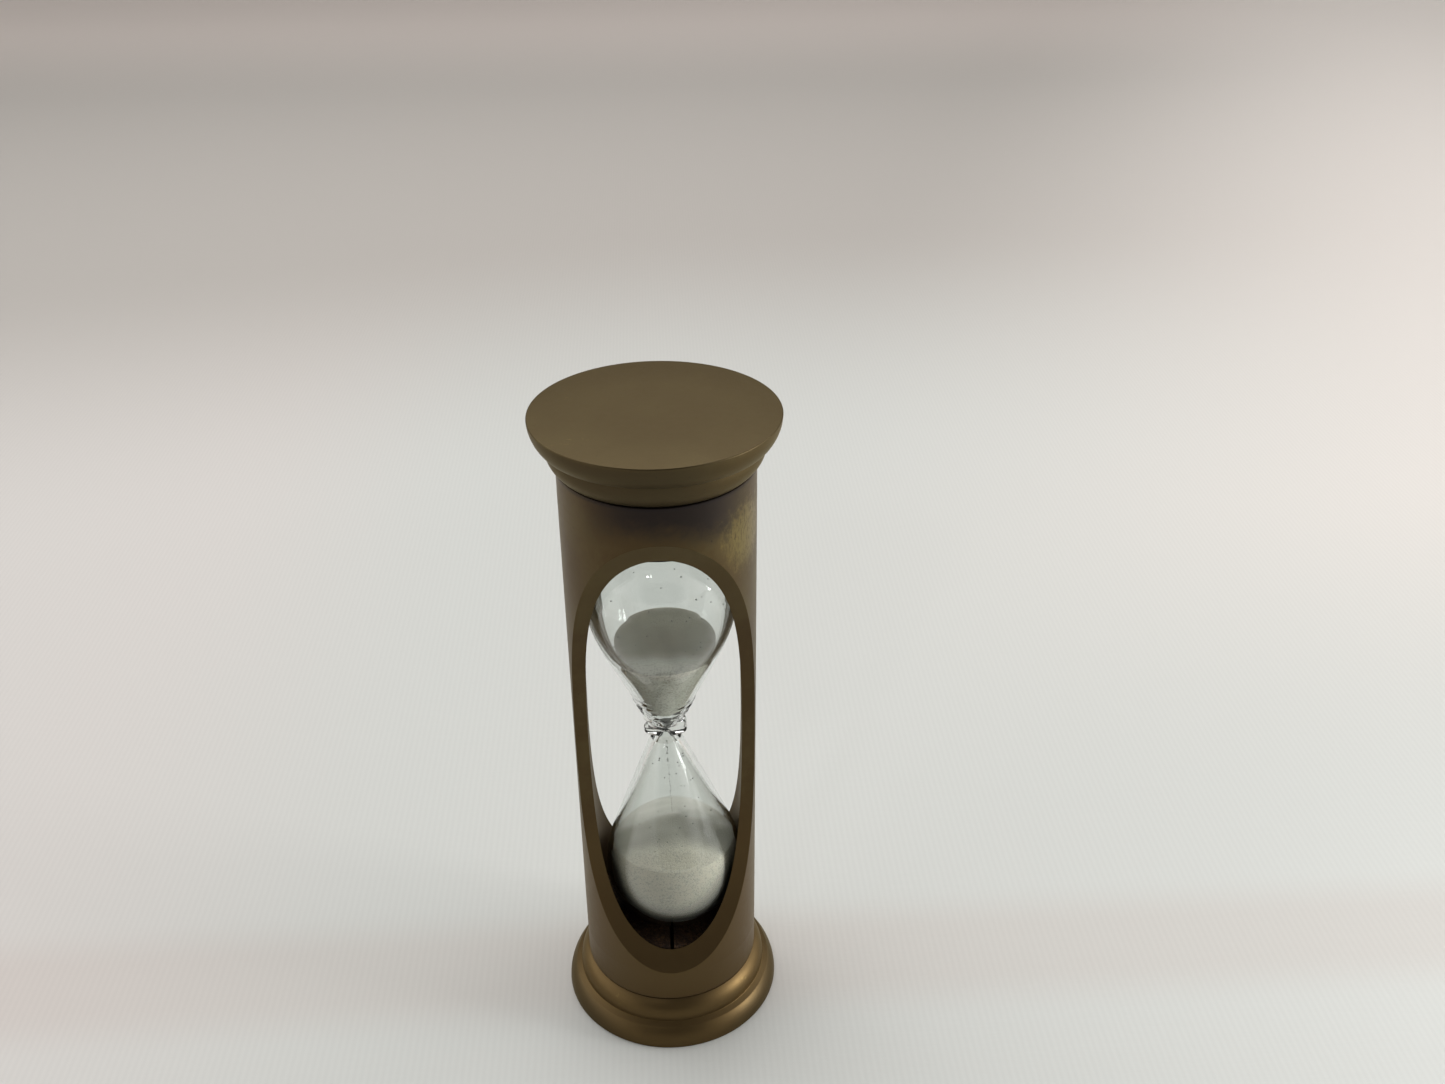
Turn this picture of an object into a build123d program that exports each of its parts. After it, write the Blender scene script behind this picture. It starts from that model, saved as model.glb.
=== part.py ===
from build123d import *
import math
import os

# Hourglass in a windowed brass tube. Millimetres and degrees.
# Z runs up the axis of the tube, the foot stands on Z = 0, and the windows face -Y and +Y.

# Tube
tube_length = 103.3
tube_outer_diameter = 32.0
tube_wall = 2.2
tube_end_chamfer = 0.3

# Windows, each one the scallop that a large round cutter leaves
window_end_band = 6.5       # unbroken tube beyond each end of the front window
front_window_reach = 3.3    # from the tube's axis to the deepest part of the cut
back_window_reach = 2.5
back_window_lift = 1.0      # middle of the back window above the middle of the tube

# Caps, alike at the top and the foot
cap_depth = 8.6             # end face to the shoulder that the tube stands on
cap_overhang = 4.0          # rim beyond the tube, all round
cap_edge_chamfer = 0.25
rim_depth = 3.9             # end face to the rim's inner edge
rim_overhang = 2.6          # that edge beyond the tube, all round
rim_bulge = 0.35            # how far the rim swells out of a straight bevel
ledge_overhang = 1.6        # inner end of the ledge beyond the tube, all round
ledge_rise = 0.5
round_bulge = 0.5           # how far the upper moulding swells out of a straight bevel
spigot_length = 5.0
spigot_clearance = 0.05     # push fit in the bore, on the radius
spigot_chamfer = 0.5

# Cushions, a split ring in each end of the tube
cushion_thickness = 5.8
cushion_bore_diameter = 10.0
cushion_clearance = 0.2     # in the bore of the tube, on the radius
cushion_slit_width = 0.7
seat_clearance = 0.2        # between a cushion and the glass in it

# Vial, blown thicker in its upper bulb than in its lower one
neck_drop = 1.1             # neck below the middle of the tube
upper_clearance = 0.8       # between the upper bulb and the bore of the tube, on the radius
upper_shoulder_radius = 28.0  # where the upper bulb's cone rounds into its side
upper_side_length = 0.6
upper_neck_diameter = 5.6   # where the upper cone meets the collar
upper_wall = 1.4            # glass at the upper bulb's shoulder, side and end
upper_funnel_diameter = 3.8   # where the upper cone's inside turns in to the throat
upper_funnel_height = 3.0     # that turn above the neck
lower_clearance = 1.2       # between the lower bulb and the bore of the tube, on the radius
lower_shoulder_radius = 20.0
lower_side_length = 0.2
lower_neck_diameter = 7.2
lower_wall = 0.8
lower_funnel_diameter = 6.4
lower_funnel_height = 3.8     # the lower cone's turn below the neck
collar_diameter = 7.7
collar_height = 3.3
collar_round = 0.6
throat_diameter = 0.7
throat_length = 0.6
pip_diameter = 3.2
pip_length = 1.8
pip_clearance = 0.4         # between the pip and the spigot under it

# Sand
sand_gap = 0.1              # between the sand and the glass
upper_fill_height = 18.9    # neck to the sand's edge in the upper bulb, at its sides
upper_dish_depth = 1.2
upper_tilt = 2.0            # fall of the upper sand towards the front
lower_fill_depth = 18.2     # bottom of the lower bulb to the sand's edge
lower_heap_height = 4.2
lower_heap_diameter = 22.0

# Sizes that follow
tube_radius = tube_outer_diameter / 2
bore_radius = tube_radius - tube_wall
spigot_radius = bore_radius - spigot_clearance
middle = cap_depth + tube_length / 2
overall_height = 2 * middle
cushion_bottom = cap_depth + spigot_length
cushion_top = cushion_bottom + cushion_thickness
neck_level = middle - neck_drop
vial_reach = neck_level - cushion_bottom - pip_clearance - pip_length  # neck to either bulb's round end
upper_radius = bore_radius - upper_clearance
lower_radius = bore_radius - lower_clearance
collar_radius = collar_diameter / 2
collar_reach = collar_height / 2
throat_radius = throat_diameter / 2


def turned(*lines):
    """Solid turned about Z from the lines of a closed outline, given as radius and height."""
    return revolve(Plane.XZ * make_face(lines), Axis.Z)


def at_top(foot_piece):
    """The like piece for the top end: the foot's own, turned over about the X axis at mid-height."""
    return Pos(0, 0, overall_height) * Rot(180, 0, 0) * foot_piece


def body_tube():
    """Tube with broken end edges and a scalloped window cut through it at the front and the back."""
    end = tube_length / 2
    tube = turned(Polyline(
        (bore_radius, -end),
        (tube_radius - tube_end_chamfer, -end),
        (tube_radius, -end + tube_end_chamfer),
        (tube_radius, end - tube_end_chamfer),
        (tube_radius - tube_end_chamfer, end),
        (bore_radius, end),
        close=True,
    ))
    window_half_height = end - window_end_band
    cut_depth = tube_radius - front_window_reach
    cutter_radius = (window_half_height**2 + cut_depth**2) / (2 * cut_depth)
    cutter = Rot(0, 90, 0) * Cylinder(cutter_radius, 2 * tube_outer_diameter)
    tube -= Pos(0, -front_window_reach - cutter_radius, 0) * cutter
    tube -= Pos(0, back_window_reach + cutter_radius, back_window_lift) * cutter
    return Pos(0, 0, middle) * tube


def foot_cap():
    """Turned end: flat face, swelling rim, ledge, round moulding, shoulder for the tube, and spigot."""
    cap_radius = tube_radius + cap_overhang
    rim_foot = (cap_radius, cap_edge_chamfer)
    rim_edge = (tube_radius + rim_overhang, rim_depth)
    round_foot = (tube_radius + ledge_overhang, rim_depth + ledge_rise)
    round_top = (tube_radius, cap_depth - tube_end_chamfer)
    shoulder_edge = (tube_radius - tube_end_chamfer, cap_depth)
    spigot_end = cap_depth + spigot_length
    return turned(
        Polyline((0, 0), (cap_radius - cap_edge_chamfer, 0), rim_foot),
        SagittaArc(rim_foot, rim_edge, -rim_bulge),
        Line(rim_edge, round_foot),
        SagittaArc(round_foot, round_top, -round_bulge),
        Polyline(
            round_top,
            shoulder_edge,
            (spigot_radius, cap_depth),
            (spigot_radius, spigot_end - spigot_chamfer),
            (spigot_radius - spigot_chamfer, spigot_end),
            (0, spigot_end),
            (0, 0),
        ),
    )


def bulb(bulb_radius, shoulder_radius, side_length, reach, neck):
    """Solid bulb standing on the neck's level, of the glass or of the room in it.

    The neck is a list of points, given as radius and height. From the last of them rises a cone that is
    tangent to the shoulder's arc; then come a straight side and a half-round end at that reach.
    """
    end_start = reach - bulb_radius
    side_start = end_start - side_length
    shoulder_offset = bulb_radius - shoulder_radius
    across = neck[-1][0] - shoulder_offset
    along = side_start - neck[-1][1]
    slope = math.asin(shoulder_radius / math.hypot(across, along)) - math.atan2(across, along)
    slope_degrees = math.degrees(slope)
    cone_top = (
        shoulder_offset + shoulder_radius * math.cos(slope),
        side_start - shoulder_radius * math.sin(slope),
    )
    return turned(
        Polyline((0, reach), (0, 0), (neck[0][0], 0), *neck, cone_top),
        CenterArc((shoulder_offset, side_start), shoulder_radius, -slope_degrees, slope_degrees),
        Line((bulb_radius, side_start), (bulb_radius, end_start)),
        CenterArc((0, end_start), bulb_radius, 0, 90),
    )


def upper_bulb():
    """Outside of the upper bulb, standing on the neck."""
    neck = [(upper_neck_diameter / 2, collar_reach)]
    return bulb(upper_radius, upper_shoulder_radius, upper_side_length, vial_reach, neck)


def lower_bulb():
    """Outside of the lower bulb, hanging from the neck."""
    neck = [(lower_neck_diameter / 2, collar_reach)]
    hung = bulb(lower_radius, lower_shoulder_radius, lower_side_length, vial_reach, neck)
    return mirror(hung, about=Plane.XY)


def upper_room(gap=0.0):
    """Room in the upper bulb, down through half the throat, less a gap all over."""
    inset = upper_wall + gap
    neck = [
        (throat_radius - gap, throat_length / 2),
        (upper_funnel_diameter / 2 - gap, upper_funnel_height),
    ]
    shoulder_radius = upper_shoulder_radius - inset
    return bulb(upper_radius - inset, shoulder_radius, upper_side_length, vial_reach - inset, neck)


def lower_room(gap=0.0):
    """Room in the lower bulb, up through half the throat, less a gap all over."""
    inset = lower_wall + gap
    neck = [
        (throat_radius - gap, throat_length / 2),
        (lower_funnel_diameter / 2 - gap, lower_funnel_height),
    ]
    shoulder_radius = lower_shoulder_radius - inset
    hung = bulb(lower_radius - inset, shoulder_radius, lower_side_length, vial_reach - inset, neck)
    return mirror(hung, about=Plane.XY)


def glass_vial():
    """Two bulbs and a rounded collar, hollow through the throat, with the sealing pip at the foot."""
    collar = Cylinder(collar_radius, collar_height)
    collar = fillet(collar.edges().filter_by(GeomType.CIRCLE), collar_round)
    pip_top = -vial_reach + lower_wall / 2
    pip_foot = -vial_reach - pip_length + pip_diameter / 2
    pip = Pos(0, 0, (pip_top + pip_foot) / 2) * Cylinder(pip_diameter / 2, pip_top - pip_foot)
    pip += Pos(0, 0, pip_foot) * Sphere(pip_diameter / 2)
    glass = upper_bulb() + lower_bulb() + collar + pip
    return Pos(0, 0, neck_level) * (glass - upper_room() - lower_room())


def sand_fill(level, depth, face_radius, rise, tilt=0.0):
    """Body of sand under a face at that level, which rises in a cone to its middle and tilts up to +Y."""
    wide = 2 * bore_radius
    fill = turned(Polyline((0, -depth), (wide, -depth), (wide, 0), (face_radius, 0), (0, rise), close=True))
    return Pos(0, 0, level) * Rot(tilt, 0, 0) * fill


def upper_sand():
    """Sand over the throat, dished in the middle and a little lower at the front."""
    depth = upper_fill_height - collar_reach
    fill = sand_fill(upper_fill_height, depth, upper_radius, -upper_dish_depth, upper_tilt)
    return Pos(0, 0, neck_level) * (upper_room(sand_gap) & fill)


def lower_sand():
    """Sand in the foot of the lower bulb, heaped under the throat."""
    level = lower_fill_depth + lower_wall - vial_reach
    heap_radius = lower_heap_diameter / 2
    fill = sand_fill(level, lower_fill_depth, heap_radius, lower_heap_height)
    return Pos(0, 0, neck_level) * (lower_room(sand_gap) & fill)


def foot_cushion(bulb_radius, bulb_end):
    """Ring on the foot's spigot, hollowed to a bulb's round end at that height and slit at the front."""
    height = cushion_top - cushion_bottom
    radius = bore_radius - cushion_clearance
    ring = Pos(0, 0, cushion_bottom + height / 2) * (
        Cylinder(radius, height) - Cylinder(cushion_bore_diameter / 2, height)
    )
    ring -= Pos(0, 0, bulb_end + bulb_radius) * Sphere(bulb_radius + seat_clearance)
    slit_place = Pos(0, -radius / 2, cushion_bottom + height / 2)
    return ring - slit_place * Box(cushion_slit_width, radius, height)


pieces = {
    "body_tube": body_tube(),
    "bottom_cap": foot_cap(),
    "top_cap": at_top(foot_cap()),
    "glass_vial": glass_vial(),
    "upper_sand": upper_sand(),
    "lower_sand": lower_sand(),
    "bottom_cushion": foot_cushion(lower_radius, neck_level - vial_reach),
    "top_cushion": at_top(foot_cushion(upper_radius, overall_height - neck_level - vial_reach)),
}

os.makedirs("parts", exist_ok=True)
for name, piece in pieces.items():
    export_step(piece, f"parts/{name}.step")
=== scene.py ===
import math

import bmesh
import bpy
import numpy as np
from bpy.props import FloatProperty, FloatVectorProperty, IntProperty, PointerProperty
from mathutils import Matrix, Vector


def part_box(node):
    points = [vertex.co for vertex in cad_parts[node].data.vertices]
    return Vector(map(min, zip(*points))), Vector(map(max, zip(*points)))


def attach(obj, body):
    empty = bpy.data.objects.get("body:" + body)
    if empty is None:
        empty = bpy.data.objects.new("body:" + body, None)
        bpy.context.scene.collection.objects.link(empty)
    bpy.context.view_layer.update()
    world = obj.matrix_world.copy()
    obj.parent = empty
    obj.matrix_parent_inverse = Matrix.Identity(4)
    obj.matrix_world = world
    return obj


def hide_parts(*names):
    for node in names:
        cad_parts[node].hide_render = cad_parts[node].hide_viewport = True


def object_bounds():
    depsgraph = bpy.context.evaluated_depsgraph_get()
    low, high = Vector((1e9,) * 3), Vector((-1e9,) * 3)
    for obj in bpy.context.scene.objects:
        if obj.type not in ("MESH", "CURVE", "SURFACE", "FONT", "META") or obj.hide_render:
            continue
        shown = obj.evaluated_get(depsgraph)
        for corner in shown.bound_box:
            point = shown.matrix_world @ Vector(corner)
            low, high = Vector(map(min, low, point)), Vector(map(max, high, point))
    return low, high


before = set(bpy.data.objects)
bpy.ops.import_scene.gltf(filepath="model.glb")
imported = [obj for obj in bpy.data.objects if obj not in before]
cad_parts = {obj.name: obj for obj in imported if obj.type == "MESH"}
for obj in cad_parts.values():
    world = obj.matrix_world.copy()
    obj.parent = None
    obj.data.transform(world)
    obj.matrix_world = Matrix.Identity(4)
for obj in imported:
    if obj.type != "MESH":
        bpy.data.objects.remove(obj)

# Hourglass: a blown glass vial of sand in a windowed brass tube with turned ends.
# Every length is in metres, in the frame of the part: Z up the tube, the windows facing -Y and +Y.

bl_info = {
    "name": "Brass Hourglass",
    "version": (1, 0, 0),
    "blender": (4, 5, 0),
    "location": "3D View > Sidebar > Hourglass",
    "description": "Builds an hourglass in a windowed brass tube, with its glass, sand and studio",
    "category": "Object",
}

MM = 0.001
CAD_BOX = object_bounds()
TUBE_LOW, TUBE_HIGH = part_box("body_tube")
CAP_LOW, CAP_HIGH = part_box("bottom_cap")
VIAL_LOW, VIAL_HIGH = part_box("glass_vial")
CUSHION_LOW, CUSHION_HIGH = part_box("bottom_cushion")
OVERALL_HEIGHT = CAD_BOX[1].z
MIDDLE = (TUBE_LOW.z + TUBE_HIGH.z) / 2


# Properties

def length(name, description, default):
    """Property for a length in metres."""
    return FloatProperty(name=name, description=description, default=default, unit="LENGTH", precision=5)


def angle(name, description, degrees):
    """Property for an angle, given in degrees."""
    return FloatProperty(
        name=name, description=description, default=math.radians(degrees), subtype="ANGLE"
    )


def colour(name, description, default):
    """Property for a linear colour."""
    return FloatVectorProperty(
        name=name, description=description, default=default, min=0.0, max=1.0, subtype="COLOR"
    )


class HourglassCase(bpy.types.PropertyGroup):
    """Sizes and colours of the brass tube and its two turned ends"""

    tube_radius: length("Tube radius", "Outside of the tube", TUBE_HIGH.x)
    tube_wall: length("Tube wall", "Thickness of the tube", 2.2 * MM)
    tube_chamfer: length("Tube chamfer", "Broken edge at each end of the tube", 0.1 * MM)
    window_band: length("Window band", "Unbroken tube beyond each end of the front window", 6.5 * MM)
    front_reach: length("Front reach", "Tube's axis to the deepest part of the front cut", 3.3 * MM)
    back_reach: length("Back reach", "Tube's axis to the deepest part of the back cut", 2.5 * MM)
    back_lift: length("Back lift", "Middle of the back window above the middle of the tube", 1.0 * MM)
    cap_radius: length("Cap radius", "Outer edge of a turned end", CAP_HIGH.x)
    cap_depth: length("Cap depth", "End face to the shoulder under the tube", TUBE_LOW.z)
    rim_depth: length("Rim depth", "End face to the rim's inner edge", 3.9 * MM)
    rim_radius: length("Rim radius", "Inner edge of the rim", 18.6 * MM)
    rim_bulge: length("Rim bulge", "Swell of the rim out of a straight bevel", 0.35 * MM)
    ledge_radius: length("Ledge radius", "Inner end of the ledge", 17.6 * MM)
    ledge_rise: length("Ledge rise", "Slope of the ledge", 0.5 * MM)
    round_bulge: length("Round bulge", "Swell of the moulding next to the tube", 0.5 * MM)
    joint_gap: length("Joint gap", "Dark line between the tube and an end", 0.2 * MM)
    joint_depth: length("Joint depth", "How far that line goes in", 1.0 * MM)
    spigot_radius: length("Spigot radius", "Plug that goes into the tube", 13.75 * MM)
    spigot_top: length("Spigot top", "End face to the end of the plug", CAP_HIGH.z)
    edge_round: length("Edge round", "Softness of the turned edges", 0.22 * MM)
    olive: colour("Olive brass", "Main tone of the old brass", (0.100, 0.073, 0.032))
    umber: colour("Umber brass", "Redder and darker tone of the skin", (0.072, 0.044, 0.019))
    russet: colour("Russet brass", "Redder tone towards the foot", (0.118, 0.075, 0.030))
    # Painted shade on the mouldings under the top, on the top's face and on the sides of the foot's rim.
    brass_shade: colour("Shaded brass", "Shaded tone of the mouldings under the top", (0.052, 0.040, 0.023))
    # Also painted light on the cut faces of the windows, towards their top.
    worn_and_lit: colour("Worn brass", "Bare metal at rubbed edges and patches", (0.250, 0.193, 0.065))
    tarnish: colour("Tarnish", "Violet-black stain", (0.020, 0.016, 0.017))


class HourglassVial(bpy.types.PropertyGroup):
    """Sizes and tint of the blown glass"""

    neck_level: length("Neck level", "Middle of the throat above the paper", MIDDLE - 1.1 * MM)
    upper_radius: length("Upper radius", "Widest part of the upper bulb", VIAL_HIGH.x)
    upper_shoulder: length("Upper shoulder", "Where the upper cone rounds into the side", 28.0 * MM)
    upper_side: length("Upper side", "Straight side of the upper bulb", 0.6 * MM)
    upper_neck: length("Upper neck", "Radius of the upper cone at the collar", 2.8 * MM)
    upper_wall: length("Upper wall", "Thickness of the upper bulb", 1.4 * MM)
    room_shift: length("Room shift", "How far the room in the upper bulb lies to the right", 0.25 * MM)
    shift_height: length("Shift height", "Height over which that shift grows from the neck", 8.0 * MM)
    upper_funnel: length("Upper funnel", "Radius where the upper room turns in to the throat", 2.0 * MM)
    upper_turn: length("Upper turn", "Height of that turn over the neck", 2.7 * MM)
    lower_radius: length("Lower radius", "Widest part of the lower bulb", 12.6 * MM)
    lower_shoulder: length("Lower shoulder", "Where the lower cone rounds into the side", 20.0 * MM)
    lower_side: length("Lower side", "Straight side of the lower bulb", 0.2 * MM)
    lower_neck: length("Lower neck", "Radius of the lower cone at the collar", 2.7 * MM)
    lower_wall: length("Lower wall", "Thickness of the lower bulb", 0.8 * MM)
    lower_funnel: length("Lower funnel", "Radius where the lower room turns in to the throat", 2.2 * MM)
    lower_turn: length("Lower turn", "Depth of that turn under the neck", 3.2 * MM)
    collar_radius: length("Collar radius", "Bulge of glass at each side of the neck", 3.8 * MM)
    collar_foot: length("Collar foot", "How far those bulges go below the neck", 1.05 * MM)
    waist: length("Waist", "Narrowest glass between those bulges", 1.0 * MM)
    collar_height: length("Collar height", "Height of the waist between the two cones", 3.3 * MM)
    collar_round: length("Collar round", "Softness of the corners beside the waist", 0.3 * MM)
    collar_tilt: length("Collar tilt", "Rise of the bulges' top on the right, fall on the left", 1.0 * MM)
    throat_radius: length("Throat radius", "Hole that the sand runs through", 0.35 * MM)
    throat_length: length("Throat length", "Length of that hole", 0.6 * MM)
    pip_radius: length("Pip radius", "Sealed tip under the lower bulb", 1.6 * MM)
    wave: length("Wave", "Rise of the rings left in the glass over the collar", 0.28 * MM)
    wave_length: length("Wave length", "From one of those rings to the next", 1.3 * MM)
    wave_count: IntProperty(name="Wave count", description="Number of those rings", default=5)
    lean: length("Lean", "Sideways set of the lower bulb's end", 1.0 * MM)
    lean_start: length("Lean start", "Where that set begins, over the neck", 2.0 * MM)
    lean_depth: length("Lean depth", "Height over which it grows", 28.0 * MM)
    tint: colour("Tint", "Colour of the glass", (0.885, 0.91, 0.895))


class HourglassSand(bpy.types.PropertyGroup):
    """Levels and colours of the sand"""

    gap: length("Gap", "Between the sand and the glass", 0.1 * MM)
    upper_fill: length("Upper fill", "Neck to the edge of the upper sand", 18.9 * MM)
    upper_dish: length("Upper dish", "Depth of the hollow in the upper sand", 1.2 * MM)
    upper_slope: length("Upper slope", "Rise of the upper sand at the back, fall at the front", 0.33 * MM)
    upper_foot: length("Upper foot", "Neck to the blunt end of the upper sand", 5.4 * MM)
    plug_radius: length("Plug radius", "Widest part of the sand caught in the throat", 1.25 * MM)
    plug_height: length("Plug height", "Neck to the top of that sand", 1.8 * MM)
    lower_fill: length("Lower fill", "Bottom of the bulb to the edge of the lower sand", 18.2 * MM)
    lower_heap: length("Lower heap", "Rise of the lower sand under the throat", 4.6 * MM)
    edge_round: length("Edge round", "Softness of the sand's edge at the glass", 0.2 * MM)
    ripple_size: length("Ripple size", "Width of the waves in an open face", 6.0 * MM)
    ripple_height: length("Ripple height", "Height of those waves", 0.3 * MM)
    slope_depth: length("Slope depth", "Depth under the edge where a face's slope has faded out", 8.0 * MM)
    lower_slope: length("Lower slope", "Rise of the lower sand at the front, fall at the back", 0.1 * MM)
    stream_radius: length("Stream radius", "Falling thread of sand", 0.2 * MM)
    stream_start: length("Stream start", "Neck to the highest grain of that thread", 4.0 * MM)
    stream_length: length("Stream length", "Height of that thread", 19.0 * MM)
    stream_grains: IntProperty(name="Stream grains", description="Grains in that thread", default=60)
    specks: IntProperty(name="Specks", description="Grains stuck to the glass of each bulb", default=36)
    grain: length("Grain", "Size of a loose grain", 0.15 * MM)
    # Main tone above; also painted light at the front of the upper face.
    pale: colour("Pale grain", "Main tone of the upper sand", (0.60, 0.58, 0.505))
    # The same sand below: its warmer, slightly darker tone is painted light.
    warm_lit: colour("Warm grain", "Main tone of the lower sand", (0.55, 0.503, 0.41))
    # The darker grains' tone, also painted light at the rim of the upper face and the front of the lower
    # face.
    grey_and_lit: colour("Grey grain", "Tone of the darker grains", (0.40, 0.385, 0.33))
    # The open faces' tones are painted shade, darker than the sand itself, darkest in the upper face's
    # middle.
    upper_face: colour("Upper face", "Open surface of the upper sand", (0.18, 0.166, 0.112))
    upper_middle: colour("Upper middle", "Middle of the upper sand's open surface", (0.15, 0.128, 0.078))
    lower_face: colour("Lower face", "Open surface of the lower sand", (0.305, 0.295, 0.258))
    lower_back: colour("Lower back", "Far slope of that surface, in the light", (0.50, 0.485, 0.445))
    stray: colour("Stray grain", "Loose grains against the light", (0.12, 0.12, 0.105))
    # Painted shade in the throat and at the foot of the lower sand.
    shade: colour("Shade", "Sand packed in the throat", (0.02, 0.022, 0.02))


class HourglassCushion(bpy.types.PropertyGroup):
    """Sizes and colours of the two split rings that seat the glass"""

    outer_radius: length("Outer radius", "Outside of the ring", CUSHION_HIGH.x)
    bore_radius: length("Bore radius", "Hole in the ring", 5.0 * MM)
    slit_width: length("Slit width", "Gap between the ring's two ends", 0.7 * MM)
    seat_gap: length("Seat gap", "Between the ring and the glass", 0.2 * MM)
    edge_round: length("Edge round", "Softness of the ring's edges", 0.35 * MM)
    hide: colour("Hide", "Main tone of the leather", (0.050, 0.026, 0.011))
    crease: colour("Crease", "Tone of its creases", (0.010, 0.005, 0.003))


class HourglassStage(bpy.types.PropertyGroup):
    """Camera, paper and light of the studio"""

    camera_distance: length("Camera distance", "In front of the tube's axis", 201.4 * MM)
    camera_height: length("Camera height", "Above the paper", 213.4 * MM)
    camera_yaw: angle("Camera yaw", "Turn to the right", 2.956)
    camera_pitch: angle("Camera pitch", "Tilt down", 30.085)
    camera_roll: angle("Camera roll", "Turn about the line of sight", -0.403)
    camera_lens: FloatProperty(
        name="Camera lens", description="Focal length for a sensor 36 mm wide", default=35.39, unit="CAMERA"
    )
    paper: colour("Paper", "Sweep under the hourglass", (0.665, 0.675, 0.65))
    # The tones to the left, far back, far end and right are painted light and shade on the sweep.
    paper_left: colour("Left paper", "The sweep to the left", (0.705, 0.675, 0.65))
    paper_right: colour("Right paper", "The sweep to the right, further back", (0.90, 0.845, 0.80))
    paper_far: colour("Far paper", "The sweep behind the hourglass", (0.495, 0.465, 0.435))
    paper_end: colour("End paper", "The sweep at its far end", (0.69, 0.625, 0.585))
    # Painted shadow in a band across the paper; the sweep is flat there.
    paper_shadow: colour("Shadow", "Warm shade in a shallow fold of the paper", (0.40, 0.13, 0.05))
    sky_front: FloatProperty(name="Front sky", description="Light from the camera's side", default=0.09)
    sky_back: FloatProperty(name="Back sky", description="Light added towards the back", default=1.15)
    sky_side: FloatProperty(name="Side sky", description="Light added towards both sides", default=1.3)
    key_power: FloatProperty(name="Key power", description="Watts of the large softbox", default=2.85)
    side_power: FloatProperty(name="Side power", description="Watts of the lamp on the right", default=1.9)
    glint_power: FloatProperty(name="Glint power", description="Brightness of small lamps", default=25.0)


# Outlines, as arrays of radius and height

def distinct(points):
    """Points without those that lie on the one before them."""
    step = np.linalg.norm(np.diff(points, axis=0), axis=1)
    return points[np.concatenate([[True], step > 1e-8])]


def arc(centre, radius, start, end, steps=24):
    """Circular arc: the centre plus the radius times the cosine and sine of an evenly growing angle."""
    turn = np.linspace(start, end, steps)
    return np.column_stack([centre[0] + radius * np.cos(turn), centre[1] + radius * np.sin(turn)])


def bowed(start, end, rise, steps=20):
    """Bowed line: the chord plus a parabola of that rise, to the right of the way it runs."""
    start, end = np.array(start), np.array(end)
    along = end - start
    across = np.array([along[1], -along[0]]) / np.linalg.norm(along)
    t = np.linspace(0, 1, steps)[:, None]
    return start + t * along + 4 * rise * t * (1 - t) * across


def softened(outline, radius, steps=6):
    """Outline with rounded corners: each sharp turn becomes a quadratic curve.

    The curve leaves and joins its two lines at the radius, or nearly halfway along a shorter line.
    """
    corner = outline[1:-1]
    back, on = outline[:-2] - corner, outline[2:] - corner
    back_length, on_length = np.linalg.norm(back, axis=1), np.linalg.norm(on, axis=1)
    turn = np.arccos(np.clip(-(back * on).sum(1) / (back_length * on_length), -1, 1))
    reach = np.minimum(radius, 0.45 * np.minimum(back_length, on_length)) * (turn > 0.3)
    start = (corner + back * (reach / back_length)[:, None])[:, None]
    end = (corner + on * (reach / on_length)[:, None])[:, None]
    t = np.linspace(0, 1, steps)[None, :, None]
    curve = (1 - t) ** 2 * start + 2 * t * (1 - t) * corner[:, None] + t**2 * end
    return distinct(np.concatenate([outline[:1], curve.reshape(-1, 2), outline[-1:]]))


def cap_outline(case):
    """Half section of a turned end: face, swelling rim, ledge, round moulding, joint line and spigot."""
    groove = case.tube_radius - case.joint_depth
    step = case.cap_depth - case.joint_gap
    rim = bowed((case.cap_radius, 0.6 * case.edge_round), (case.rim_radius, case.rim_depth), case.rim_bulge)
    moulding = bowed(
        (case.ledge_radius, case.rim_depth + case.ledge_rise),
        (case.tube_radius, step - case.tube_chamfer),
        case.round_bulge,
    )
    face = [(0, 0), (case.cap_radius * 0.5, 0), (case.cap_radius - 0.4 * case.edge_round, 0)]
    shoulder = [
        (case.tube_radius - case.tube_chamfer, step),
        (groove, step),
        (groove, case.cap_depth),
        (case.spigot_radius, case.cap_depth),
        (case.spigot_radius, case.spigot_top),
        (0, case.spigot_top),
    ]
    return softened(distinct(np.concatenate([face, rim, moulding, shoulder])), case.edge_round)


def bulb_curve(radius, shoulder, side, reach, *neck):
    """Half section of a bulb over its neck's points: cone, shoulder, straight side and half-round end.

    The cone leaves the last point of the neck and is tangent to the shoulder's arc; its points lie closer
    together near the neck. A corner between two points of the neck and the cone is rounded off by a
    quadratic curve, up to a quarter of the cone.
    """
    end_start = reach - radius
    side_start = end_start - side
    offset = radius - shoulder
    neck = np.array(neck)
    across, along = neck[-1][0] - offset, side_start - neck[-1][1]
    slope = math.asin(shoulder / math.hypot(across, along)) - math.atan2(across, along)
    bend = arc((offset, side_start), shoulder, -slope, 0)
    share = np.linspace(0, 1, 90) ** 1.5
    cone = neck[-1] + (bend[0] - neck[-1]) * share[:, None]
    if len(neck) > 1:
        quarter = np.searchsorted(share, 0.25) - 1
        t = np.linspace(0, 1, 40)[:, None]
        turn = (1 - t) ** 2 * neck[0] + 2 * t * (1 - t) * neck[1] + t**2 * cone[quarter]
        cone = np.concatenate([turn, cone[quarter + 1:]])
    crown = arc((0, end_start), radius, 0, math.pi / 2, 48)
    crown[-1, 0] = 0
    return distinct(np.concatenate([cone, bend, crown]))


def hung(outline, vial, upper):
    """Outline of a bulb moved to its place: over the neck, or turned over and hung under it."""
    return outline * (1, 1 if upper else -1) + (0, vial.neck_level)


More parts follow.
